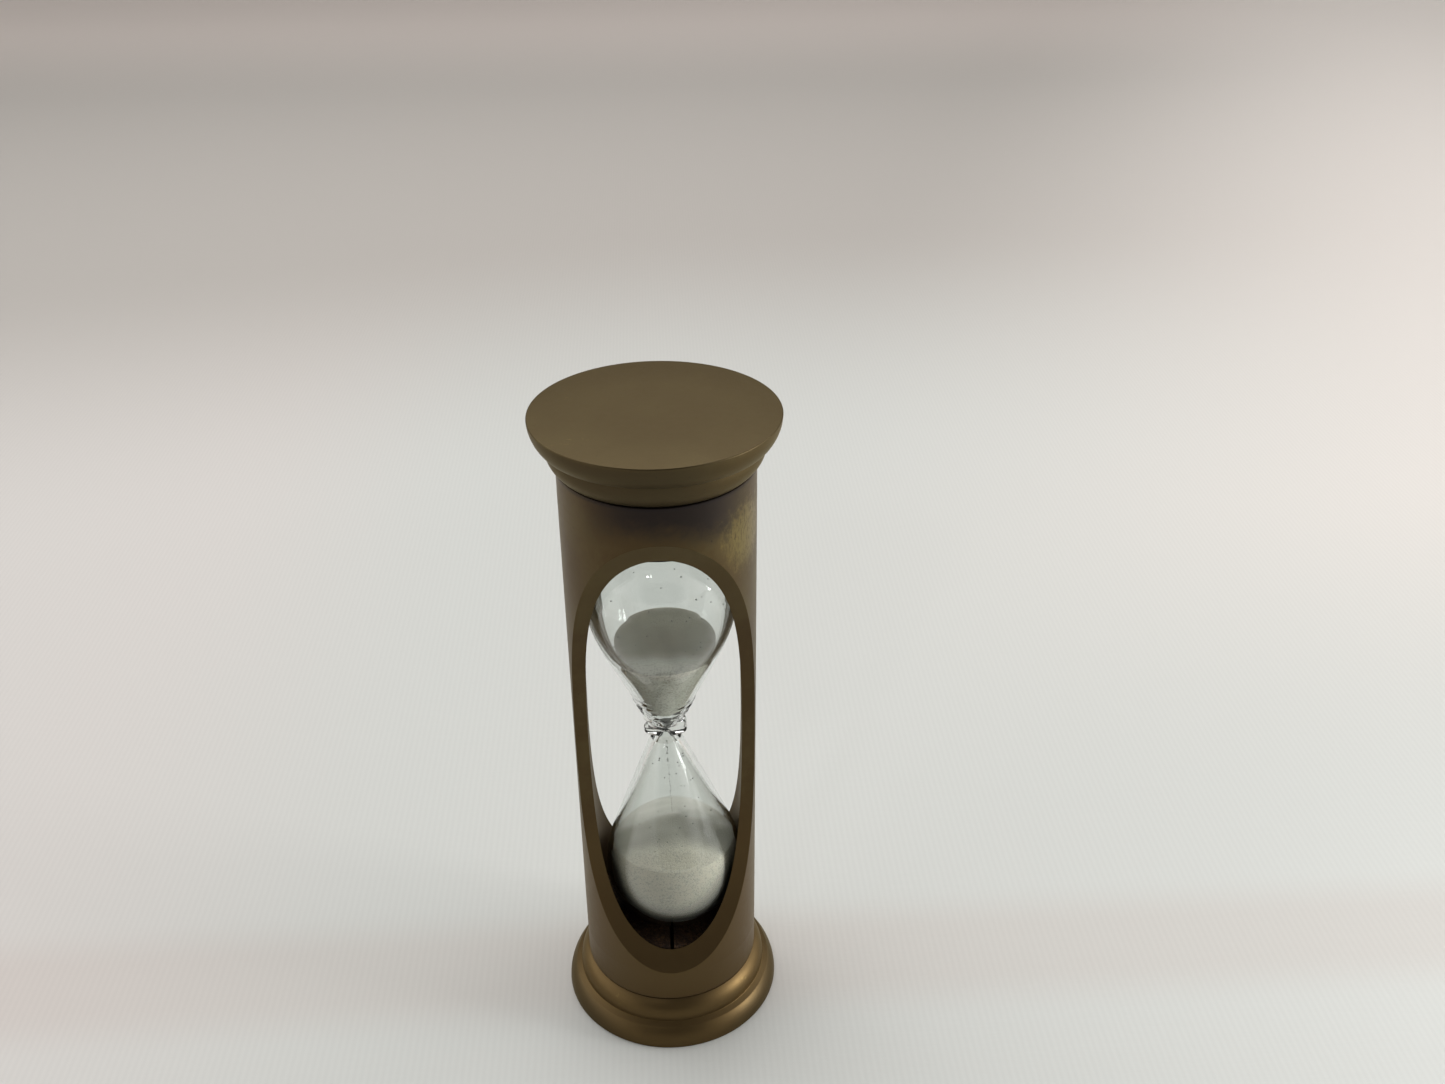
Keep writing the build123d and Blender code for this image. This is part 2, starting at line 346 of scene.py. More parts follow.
def bulb_sizes(vial, upper, gap):
    """Radius, shoulder and side of one bulb, with a gap round it."""
    if upper:
        return vial.upper_radius + gap, vial.upper_shoulder + gap, vial.upper_side
    return vial.lower_radius + gap, vial.lower_shoulder + gap, vial.lower_side


def bulb_outline(vial, upper, gap=0.0):
    """Half section of the outside of one bulb, with a gap round it."""
    reach = VIAL_HIGH.z - vial.neck_level + gap
    neck = (vial.upper_neck if upper else vial.lower_neck, vial.collar_height / 2)
    return hung(bulb_curve(*bulb_sizes(vial, upper, gap), reach, neck), vial, upper)


def room_outline(vial, upper, gap=0.0):
    """Half section of the room in one bulb down to the middle of its throat, less a gap."""
    if upper:
        wall, funnel, turn = vial.upper_wall, vial.upper_funnel, vial.upper_turn
    else:
        wall, funnel, turn = vial.lower_wall, vial.lower_funnel, vial.lower_turn
    reach = VIAL_HIGH.z - vial.neck_level - gap - wall
    neck = (vial.throat_radius - gap, vial.throat_length / 2), (funnel - gap, turn)
    return hung(bulb_curve(*bulb_sizes(vial, upper, -(wall + gap)), reach, *neck), vial, upper)


def closed(section, radius):
    """Closed section with rounded corners: its corners softened, and its last point laid on its first."""
    section = softened(distinct(np.concatenate([section, section[:2]])), radius)[1:-1]
    return np.concatenate([section, section[:1]])


def leaned(points, vial, inside=True):
    """Points moved to the right by the lean, which grows evenly from the neck down to the lower end.

    Points inside the upper bulb are moved by the shift of its room, which grows from the neck up.
    """
    down = vial.neck_level - points[..., 2]
    moved = points.copy()
    moved[..., 0] += vial.lean * np.clip((down + vial.lean_start) / vial.lean_depth, 0, 1)
    if inside:
        moved[..., 0] += vial.room_shift * np.clip(-down / vial.shift_height, 0, 1)
    return moved


# Surfaces, as grids of points

def round_z(radius, turn, height):
    """Points round Z: the radius times the cosine and the sine of the turn, at that height."""
    return np.stack([radius * np.cos(turn), radius * np.sin(turn), height + 0 * turn], axis=-1)


def turned_surface(outline, turns=160):
    """Surface of revolution: each point of the outline is carried round Z at its radius and height."""
    turn = np.linspace(0, 2 * math.pi, turns, endpoint=False)
    return round_z(outline[:, :1], turn, outline[:, 1:])


def grid_quads(rows, columns, wrap):
    """Corner numbers of the quads of a grid, joined round its columns if wrap is set."""
    row = np.arange(rows - 1)[:, None] * columns
    column = np.arange(columns if wrap else columns - 1)[None, :]
    following = (column + 1) % columns
    corners = [row + column, row + following, row + columns + following, row + columns + column]
    return np.stack(corners, axis=-1).reshape(-1, 4)


def mesh_object(name, grids, wrap=False, faces_out=False, marks=None):
    """Object made of grids of points, welded where they meet.

    With faces_out the faces of the closed result are turned outwards. Marks give each grid a number,
    kept on its faces under the name "mark".
    """
    points = np.concatenate([g.reshape(-1, 3) for g in grids])
    starts = np.cumsum([0] + [g.shape[0] * g.shape[1] for g in grids[:-1]])
    quads = [grid_quads(*g.shape[:2], wrap) + start for g, start in zip(grids, starts)]
    mesh = bpy.data.meshes.new(name)
    mesh.from_pydata(points, [], np.concatenate(quads))
    if marks:
        layer = mesh.attributes.new("mark", "FLOAT", "FACE")
        layer.data.foreach_set("value", np.repeat(np.array(marks, np.float32), [len(q) for q in quads]))
    shell = bmesh.new()
    shell.from_mesh(mesh)
    bmesh.ops.remove_doubles(shell, verts=shell.verts, dist=2e-7)
    bmesh.ops.dissolve_degenerate(shell, edges=shell.edges, dist=1e-7)
    if faces_out:
        bmesh.ops.recalc_face_normals(shell, faces=shell.faces)
    shell.to_mesh(mesh)
    shell.free()
    mesh.shade_smooth()
    mesh.set_sharp_from_angle(angle=math.radians(20))
    piece = bpy.data.objects.new(name, mesh)
    bpy.context.scene.collection.objects.link(piece)
    return piece


def tube_grids(case):
    """Surfaces of the windowed tube, half by half.

    At each height the wall's arc runs from the front cut to the back cut, at minus and plus the arcsine
    of a cut's distance over the radius, which is a quarter turn beyond the window. A cut's distance from
    the axis is its reach plus the sagitta of the large round cutter at that height. The marks are 0 for the
    skin, 0.3 for an end, 0.7 for the bore and 1 for a cut face.
    """
    outer, inner = case.tube_radius, case.tube_radius - case.tube_wall
    end = (TUBE_HIGH.z - TUBE_LOW.z) / 2
    depth = outer - case.front_reach
    cutter = ((end - case.window_band) ** 2 + depth**2) / (2 * depth)
    cuts = ((case.front_reach, 0.0), (case.back_reach, case.back_lift))

    def rows_of(reach, lift, radius):
        """Heights that space the arc's end evenly round this radius, up to the ends of the window."""
        cut = radius * np.sin(np.linspace(math.asin(reach / radius), math.pi / 2, 60))
        rise = np.sqrt(np.maximum(cutter**2 - (cutter + reach - cut) ** 2, 0))
        return np.concatenate([lift - rise, lift + rise])

    rows = [rows_of(reach, lift, radius) for reach, lift in cuts for radius in (outer, inner)]
    limit = end - case.tube_chamfer
    rows = np.unique(np.round(np.clip(np.concatenate(rows + [[-limit, limit]]), -limit, limit), 8))
    height = (rows + MIDDLE)[:, None]

    def cut_at(reach, lift):
        """Distance of a cut from the axis at every row."""
        return (reach + cutter - np.sqrt(np.maximum(cutter**2 - (rows - lift) ** 2, 0)))[:, None]

    front, back = (cut_at(reach, lift) for reach, lift in cuts)
    spread = (np.sin(np.linspace(-1, 1, 41) * math.pi / 2)[None, :] + 1) / 2

    def wall(radius):
        """Arc of this radius between the two cuts."""
        start = -np.arcsin(np.minimum(front / radius, 1))
        turn = start + (np.arcsin(np.minimum(back / radius, 1)) - start) * spread
        return round_z(radius, turn, height)

    skin, bore = wall(outer), wall(inner)
    grids, marks = [skin, bore], [0.0, 0.7]
    across = np.linspace(0, 1, 7)[None, :, None]
    for edge in (0, -1):
        start = skin[:, edge][:, None]
        finish = bore[:, edge][:, None].copy()
        finish[..., 1] = start[..., 1]
        grids.append(start + across * (finish - start))
        marks.append(1.0)
    turn = (spread - 0.5) * math.pi
    for level, brink in ((TUBE_LOW.z, MIDDLE - limit), (TUBE_HIGH.z, MIDDLE + limit)):
        ring = ((outer, brink), (outer - case.tube_chamfer, level), (inner, level), (inner, brink))
        grids.append(np.concatenate([round_z(radius, turn, z) for radius, z in ring]))
        marks.append(0.3)
    flipped = [grid * (-1, 1, 1) for grid in grids]
    return grids + flipped, marks + marks


def cushion_grid(cushion, vial, top):
    """Split ring: a closed section carried from one side of the slit round to the other.

    A point of the section at a radius stands clear of the slit's middle by the arcsine of half the
    slit's width over that radius. The ring at the top is the same form turned over about X.
    """
    low, high = CUSHION_LOW.z, CUSHION_HIGH.z
    dome = bulb_outline(vial, top, -cushion.seat_gap)
    if top:
        dome = dome * (1, -1) + (0, OVERALL_HEIGHT)
    seat = dome[(dome[:, 1] < high) & (dome[:, 0] > cushion.bore_radius)]
    outer = cushion.outer_radius
    lip = [(np.interp(high, dome[::-1, 1], dome[::-1, 0]), high)]
    bore = [(cushion.bore_radius, low), (cushion.bore_radius, seat[-1, 1])]
    wall = [(outer * 0.8, high), (outer, high), (outer, low), (outer * 0.8, low)]
    section = closed(np.concatenate([bore, seat[::-1], lip, wall]), cushion.edge_round)
    clear = np.arcsin(cushion.slit_width / 2 / section[:, :1])
    turn = -math.pi / 2 + clear + np.linspace(0, 1, 121) * 2 * (math.pi - clear)
    ring = round_z(section[:, :1], turn, section[:, 1:])
    faces = [ring[:, column] for column in (0, -1)]
    ends = [np.stack([face, np.broadcast_to(face[:-1].mean(0), face.shape)]) for face in faces]
    turn_over = (1, -1, -1) if top else (1, 1, 1)
    return [grid * turn_over + (0, 0, OVERALL_HEIGHT if top else 0) for grid in [ring] + ends]


def ripple(points, sand, seed):
    """Gentle unevenness: the ripple's height times a mean of six sine waves of about its size."""
    draw = np.random.default_rng(seed)
    waves = draw.uniform(0.6, 1.8, 6) * 2 * math.pi / sand.ripple_size
    course = draw.uniform(0, 2 * math.pi, 6)
    phase = draw.uniform(0, 2 * math.pi, 6)
    along = points[..., :1] * np.cos(course) + points[..., 1:2] * np.sin(course)
    return sand.ripple_height * np.sin(along * waves + phase).mean(-1)


def sand_surface(sand, vial, upper):
    """Sand in two grids, both turned about Z: where it lies on the glass, and its open face.

    The face falls to a dish, or rises to a heap, in a cone with a round tip, and its edge is rounded down
    by a high power of the radius. It also slopes with Y, which fades out down the side, and a ripple makes
    it uneven.
    """
    room = room_outline(vial, upper, sand.gap)
    floor = vial.neck_level - (VIAL_HIGH.z - vial.neck_level) + vial.lower_wall
    level = vial.neck_level + sand.upper_fill if upper else floor + sand.lower_fill
    if upper:
        blunt = vial.neck_level + sand.upper_foot
        room = np.concatenate([[(0, blunt - 0.3 * MM)], room[room[:, 1] > blunt]])
    else:
        room = room[::-1]
    brink = level - sand.edge_round
    edge = (np.interp(brink, room[:, 1], room[:, 0]), brink)
    wall = np.concatenate([room[room[:, 1] < brink], [edge]])
    wall[0, 0] = 0
    across = 1 - np.linspace(0, 1, 80) ** 1.5
    swell = -sand.upper_dish if upper else sand.lower_heap
    cone = math.hypot(1, 0.15) - np.hypot(across, 0.15)
    face = np.column_stack([edge[0] * across, level + swell * cone - sand.edge_round * across**16])
    grids = [turned_surface(distinct(wall)), turned_surface(face)]
    shore = np.clip(1 - np.linalg.norm(grids[1][..., :2], axis=-1) / edge[0], 0, 0.25) * 4
    grids[1][..., 2] += ripple(grids[1], sand, 5 if upper else 8) * shore
    slope = sand.upper_slope if upper else -sand.lower_slope
    for grid in grids:
        near_face = np.clip(1 - (level - grid[..., 2]) / sand.slope_depth, 0, 1)
        grid[..., 2] += slope * grid[..., 1] / edge[0] * near_face
    return [leaned(grid, vial) for grid in grids]


def plug_surface(sand, vial):
    """Sand caught in the throat: a stem under a small cone that stands on its tip, turned about Z."""
    half_gap = sand.gap / 2
    stem, end = vial.throat_radius + half_gap, vial.throat_length / 2
    wide, top = sand.plug_radius, sand.plug_height
    cone = [(wide, top - sand.gap), (wide - sand.gap, top), (0, top)]
    section = np.array([(0, -end - half_gap), (stem, -end), (stem, end), *cone])
    return leaned(turned_surface(section + (0, vial.neck_level), 48), vial)


def stream_places(sand, vial):
    """Places in the falling thread: the fall grows with the square of an even number, as speed does."""
    draw = np.random.default_rng(3)
    fall = sand.stream_length * draw.uniform(0, 1, sand.stream_grains) ** 2
    spread = sand.stream_radius * draw.normal(0, 0.45, (2, sand.stream_grains))
    return leaned(np.column_stack([*spread, vial.neck_level - sand.stream_start - fall]), vial)


def speck_places(sand, vial, upper):
    """Places of grains stuck to the inside of a bulb over its sand, more of them in front."""
    draw = np.random.default_rng(11 if upper else 12)
    room = room_outline(vial, upper, 0.5 * sand.grain)
    room = room[np.argsort(room[:, 1])]
    low, high = (sand.upper_fill + 2 * MM, 39 * MM) if upper else (-21 * MM, -4 * MM)
    height = draw.uniform(vial.neck_level + low, vial.neck_level + high, sand.specks)
    turn = draw.normal(-math.pi / 2, 0.9, sand.specks)
    radius = np.interp(height, room[:, 1], room[:, 0])
    return leaned(np.column_stack([radius * np.cos(turn), radius * np.sin(turn), height]), vial)


def grain_grid(places, size, seed):
    """Grains as small octahedra of uneven size, one at each place: a ring of four between two tips."""
    draw = np.random.default_rng(seed)
    turn = np.arange(4) * math.pi / 2
    ring = np.stack([np.cos(turn), np.sin(turn), 0 * turn], axis=-1)
    tips = np.array([[0, 0, -1.0], [0, 0, 1.0]])
    shape = np.stack([np.repeat(tips[:1], 4, axis=0), ring, np.repeat(tips[1:], 4, axis=0)])
    scale = size * draw.uniform(0.6, 1.2, (len(places), 1, 1, 3))
    return places[:, None, None] + shape * scale


# Shader maths

class Wire:
    """An output socket that takes part in Python's sums, each of which adds a Math node."""

    def __init__(self, paint, socket):
        self.paint = paint
        self.socket = socket

    def __add__(self, other):
        return self.paint.maths("ADD", self, other)

    def __sub__(self, other):
        return self.paint.maths("SUBTRACT", self, other)

    def __rsub__(self, other):
        return self.paint.maths("SUBTRACT", other, self)

    def __mul__(self, other):
        return self.paint.maths("MULTIPLY", self, other)

    def __truediv__(self, other):
        return self.paint.maths("DIVIDE", self, other)

    def __pow__(self, other):
        return self.paint.maths("POWER", self, other)

    __radd__ = __add__
    __rmul__ = __mul__


class Paint:
    """The node tree of one material or world."""

    def __init__(self, tree):
        self.tree = tree
        tree.nodes.clear()

    def node(self, kind, settings=None, inputs=None, output=0):
        """New node of that kind: settings first, then values or wires for its inputs; gives one output."""
        node = self.tree.nodes.new(kind)
        for name, value in (settings or {}).items():
            setattr(node, name, value)
        for name, value in (inputs or {}).items():
            if isinstance(value, Wire):
                self.tree.links.new(value.socket, node.inputs[name])
            else:
                node.inputs[name].default_value = value
        return Wire(self, node.outputs[output]) if node.outputs else None

    def maths(self, operation, *values):
        return self.node("ShaderNodeMath", {"operation": operation}, dict(enumerate(values)))

    def vector_maths(self, operation, *values, output=0):
        return self.node("ShaderNodeVectorMath", {"operation": operation}, dict(enumerate(values)), output)

    def millimetres(self):
        """Place on the piece, in millimetres."""
        place = self.node("ShaderNodeTexCoord", output=3)
        return self.node("ShaderNodeVectorMath", {"operation": "SCALE"}, {0: place, "Scale": 1 / MM})

    def axes(self, vector):
        split = self.node("ShaderNodeSeparateXYZ", None, {0: vector}).socket.node
        return [Wire(self, socket) for socket in split.outputs]

    def vector(self, x, y, z):
        return self.node("ShaderNodeCombineXYZ", None, {0: x, 1: y, 2: z})

    def noise(self, vector, scale, detail=3.0, roughness=0.55):
        """Cloud of values about a half, with this many features to the millimetre."""
        values = {"Vector": vector, "Scale": scale, "Detail": detail, "Roughness": roughness}
        return self.node("ShaderNodeTexNoise", None, values)

    def ramp(self, value, low, high):
        """0 below low, 1 above high and a smooth step between; the other way round if low is higher."""
        ends = {"Value": value, "From Min": low, "From Max": high}
        return self.node("ShaderNodeMapRange", {"interpolation_type": "SMOOTHSTEP"}, ends)

    def mix(self, factor, first, second):
        """Colour that goes from the first to the second."""
        first = first if isinstance(first, Wire) else (*first, 1.0)
        second = second if isinstance(second, Wire) else (*second, 1.0)
        colours = {0: factor, 6: first, 7: second}
        return self.node("ShaderNodeMix", {"data_type": "RGBA"}, colours, 2)

    def bump(self, height, distance):
        """Normal bent by a height from 0 to 1, whose full rise is this distance."""
        return self.node("ShaderNodeBump", None, {"Height": height, "Distance": distance})

    def mark(self):
        """Number that the faces of each grid were marked with."""
        return self.node("ShaderNodeAttribute", {"attribute_name": "mark"}, None, 2)

    def principled(self, inputs):
        return self.node("ShaderNodeBsdfPrincipled", None, inputs)

    def surface(self, shader):
        self.node("ShaderNodeOutputMaterial", None, {"Surface": shader})


def new_paint(name):
    """New material and the paint for its nodes."""
    material = bpy.data.materials.new(name)
    material.use_nodes = True
    return material, Paint(material.node_tree)


# Materials

def old_brass(name, case, tube):
    """Dull old brass: an olive skin with faint blotches and turning marks, pits and stains.

    On the tube it adds a violet-black stain under the top at the front, a rubbed yellow patch on the
    right, and a redder skin on the cut faces of the windows, with painted light towards the top of the
    windows. On the ends it paints shade on the mouldings under the top, less of it to the right, on the
    top's face and on the sides of the foot's rim.
    """
    material, paint = new_paint(name)
    place = paint.millimetres()
    x, y, z = paint.axes(place)
    radius = (x * x + y * y) ** 0.5
    turn = paint.maths("ARCTAN2", y, x)
    blotch = paint.noise(place, 0.11, 4.0)
    mottle = paint.noise(place, 0.8, 4.0, 0.65)
    rings = paint.noise(paint.vector(radius * 7.0, z * 7.0, turn * 2.0), 1.0, 3.0)
    grit = paint.noise(place, 6.0, 2.0)
    brown = paint.ramp(blotch + 0.4 * (mottle - 0.5), 0.72, 0.36)
    skin = paint.mix(brown * (0.7 if tube else 0.35), case.olive, case.umber)
    pits = paint.ramp(paint.noise(place, 1.7, 1.0), 0.26, 0.22)
    skin = paint.mix(pits * 0.5, skin, case.tarnish)
    rough = 0.34 + 0.12 * mottle + 0.05 * grit
    seam = case.cap_depth / MM
    far_seam = OVERALL_HEIGHT / MM - seam
    for level in (seam, far_seam):
        dirt = paint.ramp(paint.maths("ABSOLUTE", z - level), 0.75, 0.2) * paint.ramp(radius, 15.0, 15.6)
        skin = paint.mix(dirt * (0.35 + 0.5 * mottle), skin, case.tarnish)
    skin = paint.mix(paint.ramp(z, far_seam - 60.0, 30.0) * 0.8, skin, case.russet)
    if tube:
        mark = paint.mark()
        cut = paint.ramp(mark, 0.5, 1.0)
        skin = paint.mix(cut * 0.25, skin, case.umber)
        # Painted light on the cut faces, towards the top of the windows.
        skin = paint.mix(cut * paint.ramp(z, far_seam - 28.0, far_seam - 10.0) * 0.14, skin, case.worn_and_lit)
        front = paint.ramp(0.15 * x / radius - y / radius, 0.45, 0.98)
        band = paint.ramp(z + 9.0 * (blotch - 0.5) + 3.0 * (mottle - 0.5), far_seam - 8.5, far_seam - 2.0)
        skin = paint.mix(band * front * 0.9, skin, case.tarnish)
        rubbed = paint.vector_maths("DISTANCE", place, (13.9, -8.0, far_seam - 9.0), output=1)
        scratch = paint.noise(paint.vector(x * 3.0, y * 3.0, z * 0.8), 1.2, 3.0, 0.7)
        patch = paint.ramp(rubbed + 8.0 * (mottle - 0.5), 7.5, 2.0) * paint.ramp(scratch, 0.36, 0.5)
        skin = paint.mix(patch * 0.6, skin, case.worn_and_lit)
    else:
        # Painted shade on the mouldings under the top, less of it to the right, and on the top's face.
        side = paint.ramp(z, far_seam, far_seam + 0.5) * paint.ramp(z, far_seam + 8.5, far_seam + 8.0)
        skin = paint.mix(side * (0.65 - 0.6 * paint.ramp(x, 2.0, 15.0)), skin, case.brass_shade)
        skin = paint.mix(paint.ramp(z, far_seam + 8.1, far_seam + 8.5) * 0.5, skin, case.brass_shade)
        # Painted shade on the sides of the foot's rim.
        foot_rim_shade = paint.ramp(z, 5.0, 3.0) * paint.ramp(paint.maths("ABSOLUTE", x), 6.0, 17.0)
        skin = paint.mix(foot_rim_shade * 0.55, skin, case.brass_shade)
        patch = paint.ramp(mottle * blotch, 0.38, 0.5)
        skin = paint.mix(patch * 0.3, skin, case.worn_and_lit)
    normal = paint.bump(rings * 0.6 + grit * 0.4, 0.012 * MM)
    shader = paint.principled({
        "Base Color": skin,
        "Metallic": 0.9,
        "Specular Tint": (1.0, 0.98, 0.93, 1.0) if tube else (0.9, 0.84, 0.68, 1.0),
        "Roughness": rough - 0.1 * patch,
        "Normal": normal,
    })
    paint.surface(shader)
    return material


def blown_glass(name, vial):
    """Clear glass that lamps shine through, as thin glass lets them."""
    material, paint = new_paint(name)
    glass = paint.principled({
        "Base Color": (*vial.tint, 1.0),
        "Roughness": 0.0,
        "IOR": 1.5,
        "Transmission Weight": 1.0,
    })
    clear = paint.node("ShaderNodeBsdfTransparent", None, {"Color": (*vial.tint, 1.0)})
    lamp_ray = paint.node("ShaderNodeLightPath", output=1)
    paint.surface(paint.node("ShaderNodeMixShader", None, {0: lamp_ray, 1: glass, 2: clear}))
    return material


def fine_sand(name, sand, vial):
    """Fine pale sand: small grains from a cell pattern, with painted shade on its open faces.

    It has painted light towards the front of those faces, a warmer painted tone below the neck, and painted
    shade in the throat and where the tube's foot keeps the light from it.
    """
    material, paint = new_paint(name)
    place = paint.millimetres()
    x, y, z = paint.axes(place)
    cells = {"Vector": place, "Scale": 4.5}
    grain = paint.node("ShaderNodeTexVoronoi", None, cells)
    tone = paint.node("ShaderNodeTexVoronoi", None, cells, 1)
    dark = paint.ramp(paint.axes(tone)[0] + 0.5 * paint.noise(place, 0.3), 0.75, 1.25)
    neck = vial.neck_level / MM
    # Painted light: the lower sand is warmer and a little darker than the upper.
    skin = paint.mix(paint.ramp(z, neck - 5.0, neck + 5.0), sand.warm_lit, sand.pale)
    skin = paint.mix(dark, skin, sand.grey_and_lit)
    open_face = paint.mark()
    out = (x * x + y * y) ** 0.5 + 3.0 * (paint.noise(place, 0.4) - 0.5)
    # Painted shade on the open faces, darkest in the middle of the upper face; painted light at its rim and
    # front, at the front of the lower face and on its far slope.
    upper_face = paint.mix(paint.ramp(out, 6.5, 1.0), sand.upper_face, sand.upper_middle)
    upper_face = paint.mix(paint.ramp(out, 7.5, 10.0) * 0.65, upper_face, sand.grey_and_lit)
    upper_face = paint.mix(paint.ramp(y + 0.3 * out, -1.0, -5.0) * 0.55, upper_face, sand.pale)
    far = paint.ramp(y + 3.0 * (paint.noise(place, 0.25) - 0.5), -0.5, 2.5)
    lower_face = paint.mix(paint.ramp(y, -3.0, -8.0), sand.lower_face, sand.grey_and_lit)
    lower_face = paint.mix(far, lower_face, sand.lower_back)
    face = paint.mix(paint.ramp(z, neck - 5.0, neck + 5.0), lower_face, upper_face)
    # Painted light: towards the front the open faces take on more of the tone of the sand below them.
    skin = paint.mix(open_face * (0.9 - 0.7 * paint.ramp(y, -3.5, -8.5)), skin, face)
    # Painted shade in the throat.
    shaded = paint.ramp(paint.maths("ABSOLUTE", z - (neck + 0.6)), 1.5, 1.3)
    skin = paint.mix(shaded, skin, sand.shade)
    centre = (2 * vial.neck_level - VIAL_HIGH.z + vial.lower_radius) / MM
    facing = (0.6 * (z - centre) - 0.1 * (x - vial.lean / MM) - 0.79 * y) / (vial.lower_radius / MM)
    corner = paint.ramp(facing, 0.78, 0.42) * paint.ramp(z, centre + 7.0, centre + 2.0)
    skin = paint.mix(corner * 0.97, skin, sand.shade)
    skin = paint.mix(paint.ramp(open_face, 1.2, 1.8), skin, sand.stray)
    shader = paint.principled({
        "Base Color": skin,
        "Roughness": 0.9,
        "Specular IOR Level": 0.2,
        "Normal": paint.bump(1.0 - grain, 0.05 * MM),
    })
    paint.surface(shader)
    return material


def dark_leather(name, cushion):
    """Dark leather: small cells with creases between them."""
    material, paint = new_paint(name)
    place = paint.millimetres()
    warp = paint.noise(place, 0.6, 3.0)
    cells = {"Vector": paint.vector_maths("ADD", place, warp), "Scale": 1.6}
    crease = paint.node("ShaderNodeTexVoronoi", {"feature": "DISTANCE_TO_EDGE"}, cells)
    raised_part = paint.ramp(crease, 0.0, 0.18)
    skin = paint.mix(raised_part * paint.ramp(warp, 0.2, 0.7), cushion.crease, cushion.hide)
    shader = paint.principled({
        "Base Color": skin,
        "Roughness": 0.7 - 0.1 * raised_part,
        "Specular IOR Level": 0.15,
        "Normal": paint.bump(raised_part, 0.08 * MM),
    })
    paint.surface(shader)
    return material


def studio_paper(name, stage):
    """Matt paper, faint ribs, a weave; painted shade at the back and across, painted light on the right."""
    material, paint = new_paint(name)
    place = paint.millimetres()
    x, y, z = paint.axes(place)
    weave = paint.noise(paint.vector(x * 0.25, y, z), 0.6, 2.0)
    weave = weave + paint.noise(paint.vector(x, y * 0.25, z), 0.6, 2.0)
    rib = paint.maths("SINE", x * 4.8) * 0.5 + 0.5
    # Painted light and shade: warmer on the left, greyer towards the back, paler at the far end, brighter
    # to the right.
    tone = paint.mix(paint.ramp(x, -50.0, -150.0), stage.paper, stage.paper_left)
    back = y - 0.2 * paint.maths("MINIMUM", x, 0.0)
    tone = paint.mix(paint.ramp(back, 210.0, 470.0), tone, stage.paper_far)
    tone = paint.mix(paint.ramp(y, 760.0, 1040.0), tone, stage.paper_end)
    right = paint.ramp(x - 0.36 * y, -70.0, 290.0) * paint.ramp(y, 30.0, 200.0)
    tone = paint.mix(right, tone, stage.paper_right)
    # Painted shadow: a soft warm band across the paper, through the hourglass's foot.
    hollow = paint.ramp(paint.maths("ABSOLUTE", y - 1.0), 18.0, 5.0)
    tone = paint.mix(0.1 * hollow, tone, stage.paper_shadow)
    shader = paint.principled({
        "Base Color": paint.mix(0.025 * rib, tone, (0.0, 0.0, 0.0)),
        "Roughness": 0.9,
        "Normal": paint.bump(weave * 0.5, 0.06 * MM),
    })
    paint.surface(shader)
    return material


def dress(piece, material, body, slot_name, *nodes):
    """Gives a piece its material and the body it moves with, and hides the nodes it stands for. The slot is
    not used.
    """
    piece.data.materials.append(material)
    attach(piece, body)
    if nodes:
        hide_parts(*nodes)


# Operators

class HOURGLASS_OT_caps(bpy.types.Operator):
    """Turn the two brass ends"""

    bl_idname = "hourglass.caps"
    bl_label = "Turned Ends"

    def execute(self, context):
        case = context.scene.hourglass_case
        outline = cap_outline(case)
        over = (outline * (1, -1) + (0, OVERALL_HEIGHT))[::-1]
        brass = old_brass("cap_brass", case, False)
        foot = mesh_object("foot_turning", [turned_surface(outline)], wrap=True)
        dress(foot, brass, "bottom_end", "cap_brass", "bottom_cap")
        top = mesh_object("top_turning", [turned_surface(over)], wrap=True)
        dress(top, brass, "top_end", "cap_brass", "top_cap")
        return {"FINISHED"}


class HOURGLASS_OT_tube(bpy.types.Operator):
    """Make the brass tube with its two scalloped windows"""

    bl_idname = "hourglass.tube"
    bl_label = "Windowed Tube"

    def execute(self, context):
        case = context.scene.hourglass_case
        grids, marks = tube_grids(case)
        tube = mesh_object("windowed_tube", grids, faces_out=True, marks=marks)
        dress(tube, old_brass("tube_brass", case, True), "case", "tube_brass", "body_tube")
        return {"FINISHED"}


